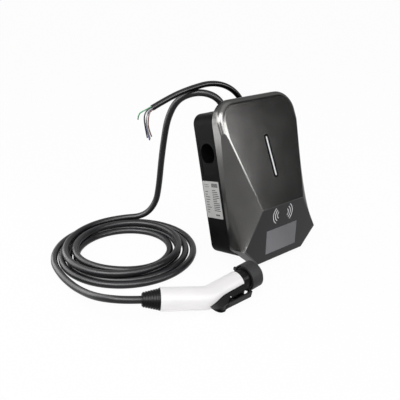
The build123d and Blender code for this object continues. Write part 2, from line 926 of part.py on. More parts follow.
def lying_plug():
    return {
        "plug_shell_upper": make_shell(Keep.TOP),
        "plug_shell_lower": make_shell(Keep.BOTTOM),
        "plug_carrier": make_carrier(),
        "contact_block": make_contact_block(),
        "contact_sleeves": make_contacts(),
        "dust_cap": make_dust_cap(),
        "latch_frame": make_latch_frame(),
        "latch_pin": make_latch_pin(),
        "latch_lever": make_latch_lever(),
        "latch_spring": make_latch_spring(),
        "proximity_switch": make_proximity_switch(),
        "plug_strain_relief": make_strain_relief(),
    }


def plug_plane():
    yaw, pitch, roll = radians(plug_yaw), radians(plug_pitch), radians(plug_roll)
    ahead = Vector(cos(yaw) * cos(pitch), sin(yaw) * cos(pitch), sin(pitch))
    level = Vector(-sin(yaw), cos(yaw), 0)
    up = ahead.cross(level)
    side = level * cos(roll) + up * sin(roll)
    return Plane(plug_origin, x_dir=ahead, z_dir=ahead.cross(side))


def write(name, shapes):
    solids = [s for shape in shapes for s in shape.solids()]
    shape = solids[0] if len(solids) == 1 else Compound(children=solids)
    export_step(shape, os.path.join("parts", name + ".step"))


def as_list(shape):
    return shape if isinstance(shape, list) else [shape]


os.makedirs("parts", exist_ok=True)
tilt = Rot(-lean, 0, 0)
parts = {name: [tilt * s for s in as_list(shape)] for name, shape in upright_box().items()}
reach = [s.bounding_box() for shapes in parts.values() for s in shapes]
mid_y = (min(b.min.Y for b in reach) + max(b.max.Y for b in reach)) / 2
stand = Pos(0, -mid_y, 0)
print("lean", round(lean, 3), "middle", round(mid_y, 3))
for name, shapes in parts.items():
    write(name, [stand * s for s in shapes])
plug = {name: [plug_plane().location * s for s in as_list(shape)] for name, shape in lying_plug().items()}
lowest = min(s.bounding_box().min.Z for shapes in plug.values() for s in shapes)
print("plug lowest", round(lowest, 2), "ahead", plug_plane().x_dir, "lever axis", plug_plane().z_dir)
for name, shapes in plug.items():
    write(name, shapes)
write("charging_coil", [make_coil()])
write("charging_cable", [cable("charging cable", charging_route(), charge_cable_d)])
write("charging_cable_tail", [cable("tail", tail_route(), charge_cable_d)])
write("supply_cable", [cable("supply cable", supply_route(), supply_cable_d)])
for index, name in enumerate(core_names):
    write(name, [cable(name, core_route(index), core_d)])
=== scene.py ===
import bpy
import bmesh
import math
from mathutils import Matrix, Vector


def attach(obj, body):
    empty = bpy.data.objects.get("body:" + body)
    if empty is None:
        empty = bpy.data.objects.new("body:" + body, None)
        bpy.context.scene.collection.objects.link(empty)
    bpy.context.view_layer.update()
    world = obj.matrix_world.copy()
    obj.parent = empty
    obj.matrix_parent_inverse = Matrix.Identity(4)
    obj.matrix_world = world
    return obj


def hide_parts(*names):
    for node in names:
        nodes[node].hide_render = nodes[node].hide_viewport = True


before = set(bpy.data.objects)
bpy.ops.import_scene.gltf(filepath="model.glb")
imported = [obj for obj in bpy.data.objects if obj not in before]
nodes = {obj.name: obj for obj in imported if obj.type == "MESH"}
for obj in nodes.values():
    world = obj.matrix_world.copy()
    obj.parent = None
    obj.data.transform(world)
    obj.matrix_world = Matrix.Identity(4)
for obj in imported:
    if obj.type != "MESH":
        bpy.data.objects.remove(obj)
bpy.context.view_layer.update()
scene = bpy.context.scene
scene.view_settings.view_transform = "Standard"
root = "wallbox"
mm = 0.001
print("frame loaded:", len(nodes), "nodes")

# the box's own frame: it leans back until the housing's foot, 20 up and 82 back, is on the floor
standSet = {"footUp": 20, "footBack": 82, "midY": 64.002}
lean = math.atan2(standSet["footUp"], standSet["footBack"])
boxTurn = Matrix.Rotation(-lean, 4, "X")
boxPlace = Matrix.Translation((0, -standSet["midY"] * mm, 0)) @ boxTurn @ Matrix.Scale(mm, 4)


def boxPoint(x, y, z):
    return boxPlace @ Vector((x, y, z))


# camera, fitted to the photograph
cameraSet = {"lens": 48.1, "sensor": 36, "place": (-0.8541, -0.8675, 0.6337), "pitch": 23.0, "yaw": 38.4}
cameraData = bpy.data.cameras.new("camera")
cameraData.lens = cameraSet["lens"]
cameraData.sensor_width = cameraSet["sensor"]
camera = bpy.data.objects.new("camera", cameraData)
camera.location = cameraSet["place"]
camera.rotation_euler = (math.radians(90 - cameraSet["pitch"]), 0, math.radians(-cameraSet["yaw"]))
scene.collection.objects.link(camera)
scene.camera = camera


# small helpers for node trees
def link(tree, a, b):
    tree.links.new(a, b)


def mathNode(tree, operation, a, b):
    node = tree.nodes.new("ShaderNodeMath")
    node.operation = operation
    for socket, value in zip(node.inputs, (a, b)):
        if isinstance(value, (int, float)):
            socket.default_value = value
        else:
            link(tree, value, socket)
    return node.outputs[0]


def mixColors(tree, factor, a, b):
    node = tree.nodes.new("ShaderNodeMix")
    node.data_type = "RGBA"
    link(tree, factor, node.inputs["Factor"])
    for label, value in (("A", a), ("B", b)):
        if isinstance(value, tuple):
            node.inputs[label].default_value = (*value, 1)
        else:
            link(tree, value, node.inputs[label])
    return node.outputs["Result"]


# materials: one helper, a settings dictionary for each finish
finishSet = {"cloudDetail": 5, "cloudLow": 0.3, "cloudHigh": 0.7, "flakeScale": 2200, "grainDetail": 3,
             "grainDepth": 0.0004}


def finish(name, color, rough, mottle, mottleScale, metallic=0.0, specular=0.5, edgeTint=1.0, flake=0.0,
           roughVary=0.0, grain=0.0, grainScale=2500.0):
    s = finishSet
    mat = bpy.data.materials.new(name)
    mat.use_nodes = True
    tree = mat.node_tree
    bsdf = tree.nodes["Principled BSDF"]
    bsdf.inputs["Base Color"].default_value = (*color, 1)
    bsdf.inputs["Roughness"].default_value = rough
    bsdf.inputs["Metallic"].default_value = metallic
    bsdf.inputs["Specular IOR Level"].default_value = specular
    bsdf.inputs["Specular Tint"].default_value = (edgeTint, edgeTint, edgeTint, 1)
    coords = tree.nodes.new("ShaderNodeTexCoord").outputs["Object"]
    cloud = tree.nodes.new("ShaderNodeTexNoise")
    cloud.inputs["Scale"].default_value = mottleScale
    cloud.inputs["Detail"].default_value = s["cloudDetail"]
    link(tree, coords, cloud.inputs["Vector"])
    ramp = tree.nodes.new("ShaderNodeValToRGB")
    ramp.color_ramp.elements[0].position = s["cloudLow"]
    ramp.color_ramp.elements[1].position = s["cloudHigh"]
    ramp.color_ramp.elements[0].color = (*[c * (1 - mottle) for c in color], 1)
    ramp.color_ramp.elements[1].color = (*[c * (1 + mottle) for c in color], 1)
    link(tree, cloud.outputs["Fac"], ramp.inputs["Fac"])
    shade = ramp.outputs["Color"]
    if flake:
        cells = tree.nodes.new("ShaderNodeTexVoronoi")
        cells.inputs["Scale"].default_value = s["flakeScale"]
        link(tree, coords, cells.inputs["Vector"])
        mix = tree.nodes.new("ShaderNodeMix")
        mix.data_type = "RGBA"
        mix.blend_type = "OVERLAY"
        mix.inputs["Factor"].default_value = flake
        link(tree, shade, mix.inputs["A"])
        link(tree, cells.outputs["Color"], mix.inputs["B"])
        shade = mix.outputs["Result"]
    link(tree, shade, bsdf.inputs["Base Color"])
    if roughVary:
        spread = tree.nodes.new("ShaderNodeMapRange")
        spread.inputs["To Min"].default_value = rough - roughVary
        spread.inputs["To Max"].default_value = rough + roughVary
        link(tree, cloud.outputs["Fac"], spread.inputs["Value"])
        link(tree, spread.outputs["Result"], bsdf.inputs["Roughness"])
    if grain:
        fine = tree.nodes.new("ShaderNodeTexNoise")
        fine.inputs["Scale"].default_value = grainScale
        fine.inputs["Detail"].default_value = s["grainDetail"]
        bump = tree.nodes.new("ShaderNodeBump")
        bump.inputs["Strength"].default_value = grain
        bump.inputs["Distance"].default_value = s["grainDepth"]
        link(tree, coords, fine.inputs["Vector"])
        link(tree, fine.outputs["Fac"], bump.inputs["Height"])
        link(tree, bump.outputs["Normal"], bsdf.inputs["Normal"])
    return mat


finishes = {
    "cover": dict(color=(0.08, 0.079, 0.077), rough=0.22, metallic=0.97, specular=0.3, edgeTint=0.5,
                  mottle=0.05, mottleScale=18, roughVary=0.03, grain=0.04, grainScale=3500, flake=0.12),
    "housing": dict(color=(0.006, 0.006, 0.0065), rough=0.42, specular=0.02, mottle=0.18, mottleScale=30,
                    roughVary=0.06, grain=0.25),
    "holster": dict(color=(0.005, 0.005, 0.0055), rough=0.42, specular=0.025, mottle=0.15, mottleScale=30,
                    roughVary=0.06, grain=0.15),
    "screen": dict(color=(0.16, 0.165, 0.17), rough=0.12, mottle=0.12, mottleScale=9),
    "gloss": dict(color=(0.0015, 0.0015, 0.002), rough=0.45, specular=0.02, mottle=0.1, mottleScale=30),
    "light": dict(color=(0.86, 0.87, 0.88), rough=0.35, mottle=0.03, mottleScale=60),
    "board": dict(color=(0.02, 0.12, 0.05), rough=0.4, mottle=0.25, mottleScale=120, grain=0.1),
    "seal": dict(color=(0.02, 0.02, 0.02), rough=0.7, mottle=0.2, mottleScale=80),
    "steel": dict(color=(0.55, 0.55, 0.56), rough=0.3, metallic=1.0, mottle=0.08, mottleScale=200,
                  roughVary=0.08),
    "block": dict(color=(0.03, 0.03, 0.033), rough=0.4, mottle=0.2, mottleScale=90, grain=0.15),
    "terminal": dict(color=(0.1, 0.25, 0.13), rough=0.45, mottle=0.1, mottleScale=90),
    "sensor": dict(color=(0.03, 0.07, 0.22), rough=0.45, mottle=0.1, mottleScale=90),
    "can": dict(color=(0.6, 0.6, 0.62), rough=0.32, metallic=1.0, mottle=0.05, mottleScale=150),
    "brass": dict(color=(0.72, 0.55, 0.27), rough=0.3, metallic=1.0, mottle=0.1, mottleScale=150),
    "cable": dict(color=(0.009, 0.009, 0.011), rough=0.36, specular=0.22, mottle=0.25, mottleScale=25,
                  roughVary=0.08, grain=0.12, grainScale=1500),
    "supply": dict(color=(0.0025, 0.0025, 0.003), rough=0.13, specular=0.2, mottle=0.2, mottleScale=25,
                   roughVary=0.03, grain=0.04, grainScale=1500),
    "white": dict(color=(0.91, 0.895, 0.897), rough=0.4, specular=0.25, mottle=0.015, mottleScale=20,
                  roughVary=0.04, grain=0.05),
    "plugBlack": dict(color=(0.004, 0.004, 0.0045), rough=0.34, specular=0.1, mottle=0.2, mottleScale=60,
                      roughVary=0.06, grain=0.12),
    "cap": dict(color=(0.028, 0.028, 0.03), rough=0.55, specular=0.16, mottle=0.15, mottleScale=60,
                roughVary=0.08, grain=0.3, grainScale=1800),
    "label": dict(color=(0.5, 0.5, 0.49), rough=0.45, specular=0.2, mottle=0.03, mottleScale=80),
    "ink": dict(color=(0.008, 0.008, 0.009), rough=0.6, mottle=0.2, mottleScale=300),
    "paint": dict(color=(0.8, 0.8, 0.81), rough=0.4, mottle=0.03, mottleScale=200),
    "earthCore": dict(color=(0.03, 0.24, 0.09), rough=0.35, mottle=0.1, mottleScale=200),
    "blackCore": dict(color=(0.006, 0.006, 0.007), rough=0.35, specular=0.2, mottle=0.2, mottleScale=200),
    "blueCore": dict(color=(0.02, 0.03, 0.22), rough=0.35, mottle=0.1, mottleScale=200),
    "brownCore": dict(color=(0.12, 0.025, 0.02), rough=0.35, mottle=0.1, mottleScale=200),
    "greyCore": dict(color=(0.16, 0.16, 0.17), rough=0.35, mottle=0.1, mottleScale=200),
}
looks = {name: finish(name, **values) for name, values in finishes.items()}

# glass: black print at the back, with a clear window over the grey screen, and a painted reflection: a
# lighter diagonal sheen across the screen
panelSet = {"lipDepth": 36.5, "noseDepth": 70.0, "noseHeight": 132.0}
panelSlope = math.atan2(panelSet["noseDepth"] - panelSet["lipDepth"], panelSet["noseHeight"])
panelTurn = Matrix.Rotation(math.pi / 2 + panelSlope, 4, "X")  # across, up the slope, outwards
panelPlace = boxPlace @ Matrix.Translation((0, -panelSet["lipDepth"], 0)) @ panelTurn
# the lighter screen colour and its slant are a painted reflection, a sheen across the screen
glassSet = {"print": (0.006, 0.006, 0.008), "screen": (0.135, 0.135, 0.145), "paintedSheen": (0.185, 0.185, 0.2),
            "paintedSheenSlant": 0.7, "paintedSheenNone": 60, "paintedSheenFull": -10, "middle": 48.5, "width": 100.0,
            "height": 60.0, "rough": 0.07, "specular": 0.28}


def glassFinish():
    g = glassSet
    mat = bpy.data.materials.new("glass")
    mat.use_nodes = True
    tree = mat.node_tree
    bsdf = tree.nodes["Principled BSDF"]
    bsdf.inputs["Roughness"].default_value = g["rough"]
    bsdf.inputs["Specular IOR Level"].default_value = g["specular"]
    coords = tree.nodes.new("ShaderNodeTexCoord").outputs["Object"]
    flat = tree.nodes.new("ShaderNodeMapping")  # turns the panel's slope flat, in millimetres
    back = panelPlace.inverted()
    flat.inputs["Location"].default_value = back.to_translation()
    flat.inputs["Rotation"].default_value = back.to_euler()
    flat.inputs["Scale"].default_value = back.to_scale()
    split = tree.nodes.new("ShaderNodeSeparateXYZ")
    link(tree, coords, flat.inputs["Vector"])
    link(tree, flat.outputs["Vector"], split.inputs["Vector"])
    across = mathNode(tree, "ABSOLUTE", split.outputs["X"], 0)
    up = mathNode(tree, "ABSOLUTE", mathNode(tree, "SUBTRACT", split.outputs["Y"], g["middle"]), 0)
    inside = mathNode(tree, "MULTIPLY", mathNode(tree, "LESS_THAN", across, g["width"] / 2),
                      mathNode(tree, "LESS_THAN", up, g["height"] / 2))
    slant = mathNode(tree, "MULTIPLY", split.outputs["Y"], g["paintedSheenSlant"])
    paintedSheen = tree.nodes.new("ShaderNodeMapRange")  # painted reflection: the screen is painted lighter on one side, a diagonal sheen
    paintedSheen.inputs["From Min"].default_value = g["paintedSheenNone"]
    paintedSheen.inputs["From Max"].default_value = g["paintedSheenFull"]
    link(tree, mathNode(tree, "ADD", split.outputs["X"], slant), paintedSheen.inputs["Value"])
    # the screen's grey blends into the painted sheen colour
    window = mixColors(tree, paintedSheen.outputs["Result"], g["screen"], g["paintedSheen"])
    link(tree, mixColors(tree, inside, g["print"], window), bsdf.inputs["Base Color"])
    return mat


looks["glass"] = glassFinish()

nodeLooks = {
    "cover": ["front_cover"],
    "glass": ["glass_panel"],
    "screen": ["screen_module"],
    "housing": ["rear_housing"],
    "holster": ["plug_holster", "charging_gland_body", "charging_gland_nut", "charging_gland_lock_nut",
                "supply_gland_body", "supply_gland_nut", "supply_gland_lock_nut"],
    "light": ["light_bar_guide"],
    "board": ["display_board", "card_antenna_board", "light_bar_board", "main_board"],
    "seal": ["cover_seal"],
    "steel": ["cover_screws", "board_screws", "latch_pin", "latch_spring"],
    "block": ["relays", "power_supply", "proximity_switch"],
    "terminal": ["terminal_block"],
    "sensor": ["leakage_sensor"],
    "can": ["capacitors"],
    "brass": ["supply_leads", "contact_sleeves"],
    "white": ["plug_shell_upper", "plug_shell_lower"],
    "plugBlack": ["plug_carrier", "contact_block", "latch_frame", "latch_lever", "plug_strain_relief"],
    "cap": ["dust_cap"],
}
for look, names in nodeLooks.items():
    for name in names:
        nodes[name].data.materials.clear()
        nodes[name].data.materials.append(looks[look])
print("materials set")

# cables: control points of the routes, in millimetres
cableSet = {"order": 3, "steps": 8, "roundSteps": 5, "outletRun": 30}
glandSet = {"y": 41, "top": 339}
rise = Vector((0, math.sin(lean), math.cos(lean)))


def glandStart(x):
    start = boxPoint(x, glandSet["y"], glandSet["top"]) / mm
    return [start, start + rise * cableSet["outletRun"]]


plugSet = {"origin": Vector((-185.0, -149.5, 28.8)), "yaw": 2.0, "pitch": 3.3, "roll": 16.0, "bend": 31.0,
           "bootEnd": 134.0, "bendBack": 83.0}
yaw, pitch, roll = [math.radians(plugSet[k]) for k in ("yaw", "pitch", "roll")]
plugX = Vector((math.cos(yaw) * math.cos(pitch), math.sin(yaw) * math.cos(pitch), math.sin(pitch)))
level = Vector((-math.sin(yaw), math.cos(yaw), 0))
plugY = level * math.cos(roll) + plugX.cross(level) * math.sin(roll)


def handlePoint(distance):
    turn = math.radians(plugSet["bend"])
    along = -plugSet["bendBack"] - distance * math.cos(turn)
    return plugSet["origin"] + plugX * along + plugY * (distance * math.sin(turn))


coilSet = {"middle": (-280, 148), "startTurn": 62, "endTurn": 5 * 360 + 192, "step": 24, "topTurns": 1.45,
           "dropTurns": 0.2, "topFrom": 150, "topTo": 116, "innerR": 108, "outerR": 178, "topZ": 24.4,
           "floorZ": 8.2, "landing": 5, "landingFade": 6, "wave": 4.0, "waveRate": 1.03, "ripple": 1.2,
           "rippleRate": 2.1, "ripplePhase": 40, "dropWave": 0.3}


def between(a, b, share):
    return a + (b - a) * share


def coilPoints():
    s = coilSet
    points = []
    topEnd = s["startTurn"] + 360 * s["topTurns"]
    dropEnd = topEnd + 360 * s["dropTurns"]
    turn = s["startTurn"]
    while turn < s["endTurn"]:
        wave = s["wave"] * math.sin(math.radians(turn * s["waveRate"]))
        wave += s["ripple"] * math.sin(math.radians(turn * s["rippleRate"] + s["ripplePhase"]))
        if turn < topEnd:  # loose turns on top, coming in
            share = (turn - s["startTurn"]) / (topEnd - s["startTurn"])
            radius = between(s["topFrom"], s["topTo"], share)
            height = s["topZ"] + s["landing"] * max(0, 1 - s["landingFade"] * share)
        elif turn < dropEnd:
            share = (turn - topEnd) / (dropEnd - topEnd)
            radius = between(s["topTo"], s["innerR"], share)
            height = between(s["topZ"], s["floorZ"], share)
            wave *= s["dropWave"]
        else:  # turns on the floor, going out
            share = (turn - dropEnd) / (s["endTurn"] - dropEnd)
            radius = between(s["innerR"], s["outerR"], share)
            height = s["floorZ"]
        angle = math.radians(turn)
        points.append(Vector((s["middle"][0] + (radius + wave) * math.cos(angle),
                              s["middle"][1] + (radius + wave) * math.sin(angle), height)))
        turn += s["step"]
    return points


def cableCurve(name, points, diameter, look):
    data = bpy.data.curves.new(name, "CURVE")
    data.dimensions = "3D"
    data.resolution_u = cableSet["steps"]
    data.bevel_depth = diameter / 2 * mm
    data.bevel_resolution = cableSet["roundSteps"]
    data.use_fill_caps = True
    spline = data.splines.new("NURBS")
    spline.points.add(len(points) - 1)
    for point, place in zip(spline.points, points):
        point.co = (*(Vector(place) * mm), 1)
    spline.order_u = cableSet["order"]
    spline.use_endpoint_u = True
    data.materials.append(looks[look])
    piece = bpy.data.objects.new(name, data)
    scene.collection.objects.link(piece)
    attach(piece, root)
    return piece


chargeSet = {"glandX": -45, "diameter": 16, "length": 5.4}
chargeRoute = glandStart(chargeSet["glandX"]) + [
    (-65, 76, 375), (-97, 100.8, 383), (-126, 136, 364), (-136, 163, 316), (-134, 185, 254),
    (-132, 203, 190), (-130, 218, 126), (-134, 230, 70), (-162, 247, 34)]
tailRoute = [(-452.5, 86, 9), (-449.5, 52, 12), (-448, 16, 20), (-444.4, -20, 30), (-433, -52, 37.5),
             handlePoint(plugSet["bootEnd"] + cableSet["outletRun"]), handlePoint(plugSet["bootEnd"])]
wholeRoute = chargeRoute + coilPoints() + tailRoute
chargingCable = cableCurve("chargingCable", wholeRoute, chargeSet["diameter"], "cable")
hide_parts("charging_cable", "charging_coil", "charging_cable_tail")

supplySet = {"glandX": 17, "diameter": 13.5, "length": 0.292}
supplyRoute = glandStart(supplySet["glandX"]) + [
    (-12, 76, 386), (-60, 88, 402), (-112, 103, 392), (-160, 117, 376), (-205, 124, 356)]
supplyCable = cableCurve("supplyCable", supplyRoute, supplySet["diameter"], "supply")
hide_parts("supply_cable")

# cores: they start in a ring on the cut end
coreSet = {"ring": 3.9, "firstTurn": 90, "run": 9.0, "diameter": 3.0}
cores = {
    "earth": {"length": 0.0516, "points": [(-226, 125, 353), (-236, 133, 346), (-232, 142, 331)]},
    "black": {"length": 0.0814, "points": [(-224, 129, 342), (-224, 127.5, 318), (-217, 129.5, 288)]},
    "blue": {"length": 0.08, "points": [(-219, 129, 335), (-219, 130, 311), (-210, 131, 281)]},
    "brown": {"length": 0.0706, "points": [(-219, 120, 335), (-218.5, 122.5, 313), (-209, 124, 291)]},
    "grey": {"length": 0.0781, "points": [(-226, 117, 342), (-227, 116, 318), (-219, 115, 290)]},
}
cutEnd = Vector(supplyRoute[-1])
ahead = (cutEnd - Vector(supplyRoute[-2])).normalized()
side = Vector((0, 0, 1)).cross(ahead).normalized()
for index, (name, values) in enumerate(cores.items()):
    turn = math.radians(coreSet["firstTurn"] + 360 / len(cores) * index)
    outwards = side * math.cos(turn) + ahead.cross(side) * math.sin(turn)
    start = cutEnd + outwards * coreSet["ring"]
    coreRoute = [start, start + ahead * coreSet["run"]] + values["points"]
    core = cableCurve(name + "Core", coreRoute, coreSet["diameter"], name + "Core")
    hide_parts(name + "_core")
print("cables laid")


# marks that repeat: grown by node trees, then kept as plain meshes
def startTree(name, inputs):
    tree = bpy.data.node_groups.new(name, "GeometryNodeTree")
    tree.interface.new_socket("Geometry", in_out="OUTPUT", socket_type="NodeSocketGeometry")
    for label, kind in inputs.items():
        tree.interface.new_socket(label, in_out="INPUT", socket_type="NodeSocket" + kind)
    return tree, tree.nodes.new("NodeGroupInput").outputs, tree.nodes.new("NodeGroupOutput")


def endTree(tree, shape, material, out):
    real = tree.nodes.new("GeometryNodeRealizeInstances")
    paint = tree.nodes.new("GeometryNodeSetMaterial")
    link(tree, shape, real.inputs["Geometry"])
    link(tree, real.outputs["Geometry"], paint.inputs["Geometry"])
    link(tree, material, paint.inputs["Material"])
    link(tree, paint.outputs["Geometry"], out.inputs["Geometry"])


def grown(name, tree, values, look, place):
    piece = bpy.data.objects.new(name, bpy.data.meshes.new(name))
    scene.collection.objects.link(piece)
    modifier = piece.modifiers.new("grow", "NODES")
    modifier.node_group = tree
    for socket in tree.interface.items_tree:
        if socket.in_out == "INPUT":
            modifier[socket.identifier] = looks[look] if socket.name == "Material" else values[socket.name]
    made = piece.evaluated_get(bpy.context.evaluated_depsgraph_get())
    mesh = bpy.data.meshes.new_from_object(made)
    piece.modifiers.remove(modifier)
    piece.data = mesh
    mesh.transform(place)
    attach(piece, root)


# card reader arcs: two fans of three arcs on the glass
arcSet = {"Fan Offset": 7.5, "First Radius": 10.5, "Radius Step": 6.7, "Arcs": 3, "Line Width": 1.7,
          "Half Sweep": math.radians(52), "Line Height": 0.3, "middle": 110.9, "steps": 28}


def arcTree():
    tree, inputs, out = startTree("cardArcs", {
        "Fan Offset": "Float", "First Radius": "Float", "Radius Step": "Float", "Arcs": "Int",
        "Half Sweep": "Float", "Line Width": "Float", "Line Height": "Float", "Material": "Material"})
    add = tree.nodes.new
    halfSweep = inputs["Half Sweep"]
    arc = add("GeometryNodeCurveArc")
    arc.inputs["Resolution"].default_value = arcSet["steps"]
    arc.inputs["Radius"].default_value = 1.0
    link(tree, mathNode(tree, "MULTIPLY", halfSweep, -1), arc.inputs["Start Angle"])
    link(tree, mathNode(tree, "ADD", halfSweep, halfSweep), arc.inputs["Sweep Angle"])
    line = add("GeometryNodeMeshLine")  # one point for each arc, all at the fan's middle
    line.inputs["Offset"].default_value = (0, 0, 0)
    link(tree, inputs["Arcs"], line.inputs["Count"])
    index = add("GeometryNodeInputIndex").outputs[0]
    grownBy = mathNode(tree, "MULTIPLY", index, inputs["Radius Step"])
    fan = add("GeometryNodeInstanceOnPoints")
    link(tree, line.outputs["Mesh"], fan.inputs["Points"])
    link(tree, arc.outputs["Curve"], fan.inputs["Instance"])
    link(tree, mathNode(tree, "ADD", inputs["First Radius"], grownBy), fan.inputs["Scale"])
    curves = add("GeometryNodeRealizeInstances")
    link(tree, fan.outputs["Instances"], curves.inputs["Geometry"])
    section = add("GeometryNodeCurvePrimitiveQuadrilateral")
    link(tree, inputs["Line Width"], section.inputs["Width"])
    link(tree, inputs["Line Height"], section.inputs["Height"])
    strokes = add("GeometryNodeCurveToMesh")
    strokes.inputs["Fill Caps"].default_value = True
    link(tree, curves.outputs["Geometry"], strokes.inputs["Curve"])
    link(tree, section.outputs["Curve"], strokes.inputs["Profile Curve"])
    shift = add("ShaderNodeCombineXYZ")
    link(tree, inputs["Fan Offset"], shift.inputs["X"])
    right = add("GeometryNodeTransform")
    link(tree, strokes.outputs["Mesh"], right.inputs["Geometry"])
    link(tree, shift.outputs["Vector"], right.inputs["Translation"])
    left = add("GeometryNodeTransform")  # half a turn gives the other fan
    left.inputs["Rotation"].default_value = (0, 0, math.pi)
    link(tree, right.outputs["Geometry"], left.inputs["Geometry"])
    both = add("GeometryNodeJoinGeometry")
    link(tree, left.outputs["Geometry"], both.inputs["Geometry"])
    link(tree, right.outputs["Geometry"], both.inputs["Geometry"])
    endTree(tree, both.outputs["Geometry"], inputs["Material"], out)
    return tree


arcRaise = arcSet["Line Height"] / 4  # a quarter of the height is sunk into the glass
arcPlace = panelPlace @ Matrix.Translation((0, arcSet["middle"], arcRaise))
grown("cardArcs", arcTree(), arcSet, "paint", arcPlace)


def meshPiece(name, shape, place, look):
    bmesh.ops.recalc_face_normals(shape, faces=shape.faces)
    mesh = bpy.data.meshes.new(name)
    shape.to_mesh(mesh)
    shape.free()
    mesh.transform(place)
    mesh.materials.append(looks[look])
    piece = bpy.data.objects.new(name, mesh)
    scene.collection.objects.link(piece)
    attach(piece, root)
    return piece


# black frame round the light bar, with a flange that lies on the cover
barFrameSet = {"foot": (70.0, 132.0), "head": (21.0, 384.0), "middle": 114.0, "length": 92.0, "width": 3.8,
               "gap": 0.3, "collar": 3.0, "flange": 5.0, "proud": 0.4, "lip": 0.02, "depth": 4.0,
               "endSteps": 16}


def barFrame():
    s = barFrameSet
    (footDepth, footHeight), (headDepth, headHeight) = s["foot"], s["head"]
    slope = math.atan2(headDepth - footDepth, headHeight - footHeight)
    turned = Matrix.Rotation(math.pi / 2 + slope, 4, "X")
    place = boxPlace @ Matrix.Translation((0, -footDepth, footHeight)) @ turned
    section = [  # out from the guide's edge, up from the cover
        (s["gap"], s["proud"]), (s["flange"] - s["proud"] / 2, s["proud"]),
        (s["flange"], s["proud"] / 2), (s["flange"], s["lip"]), (s["collar"], s["lip"]),
        (s["collar"], -s["depth"]), (s["gap"], -s["depth"])]
    shape = bmesh.new()
    rings = []
    for end, firstTurn in ((1, 0), (-1, math.pi)):
        height = s["middle"] + end * (s["length"] - s["width"]) / 2
        for step in range(s["endSteps"] + 1):
            turn = math.pi * step / s["endSteps"] + firstTurn
            way = Vector((math.cos(turn), math.sin(turn), 0))
            rings.append([shape.verts.new(Vector((0, height, up)) + way * (s["width"] / 2 + out))
                          for out, up in section])
    for ring, after in zip(rings, rings[1:] + rings[:1]):
        for i in range(len(section)):
            j = (i + 1) % len(section)
            shape.faces.new((ring[i], ring[j], after[j], after[i]))
    piece = meshPiece("lightBarFrame", shape, place, "gloss")
    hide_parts("light_bar_frame")


barFrame()

# label plate on the housing's left side, with plain bars
labelSet = {"middle": (-110, 50.5, 158), "width": 59.0, "height": 90.0, "corner": 2.0, "thick": 0.3,
            "cornerSteps": 5}
labelPlace = boxPlace @ Matrix.Translation(labelSet["middle"]) @ Matrix((
    (0, 0, -1, 0), (-1, 0, 0, 0), (0, 1, 0, 0), (0, 0, 0, 1)))  # across to the front, up, outwards


def labelPlate():
    s = labelSet
    insetX = s["width"] / 2 - s["corner"]
    insetY = s["height"] / 2 - s["corner"]
    shape = bmesh.new()
    ring = []
    for corner, (sx, sy) in enumerate(((1, 1), (-1, 1), (-1, -1), (1, -1))):
        for step in range(s["cornerSteps"] + 1):
            turn = math.radians(90 * (corner + step / s["cornerSteps"]))
            ring.append(shape.verts.new((sx * insetX + s["corner"] * math.cos(turn),
                                         sy * insetY + s["corner"] * math.sin(turn), 0)))
    face = shape.faces.new(ring)
    top = bmesh.ops.extrude_face_region(shape, geom=[face])["geom"]
    topVerts = [v for v in top if isinstance(v, bmesh.types.BMVert)]
    bmesh.ops.translate(shape, verts=topVerts, vec=(0, 0, s["thick"]))
    meshPiece("labelPlate", shape, labelPlace, "label")


labelPlate()
barThick = 0.2
barSets = {  # bars grow to the right; middle is the middle of their left ends on the plate
    "labelRowsRight": {"middle": (2, -1), "Columns": 1, "Rows": 12, "Column Pitch": 0.0, "Row Pitch": 4.5,
                       "Length": 24.0, "Shortest": 0.45, "Bar Height": 1.8, "Seed": 3},
    "labelRowsLeft": {"middle": (-24, -6), "Columns": 1, "Rows": 9, "Column Pitch": 0.0, "Row Pitch": 6.3,
                      "Length": 16.0, "Shortest": 0.3, "Bar Height": 1.6, "Seed": 8},
    "labelBlock": {"middle": (12.5, 35.5), "Columns": 8, "Rows": 1, "Column Pitch": 2.9, "Row Pitch": 0.0,
                   "Length": 2.5, "Shortest": 0.65, "Bar Height": 9.5, "Seed": 5},
    "labelDots": {"middle": (-17, 34), "Columns": 3, "Rows": 2, "Column Pitch": 5.5, "Row Pitch": 5.0,
                  "Length": 3.4, "Shortest": 0.6, "Bar Height": 2.0, "Seed": 2},
    "labelFoot": {"middle": (10, -36.5), "Columns": 3, "Rows": 1, "Column Pitch": 4.6, "Row Pitch": 0.0,
                  "Length": 4.2, "Shortest": 0.85, "Bar Height": 3.8, "Seed": 4},
}


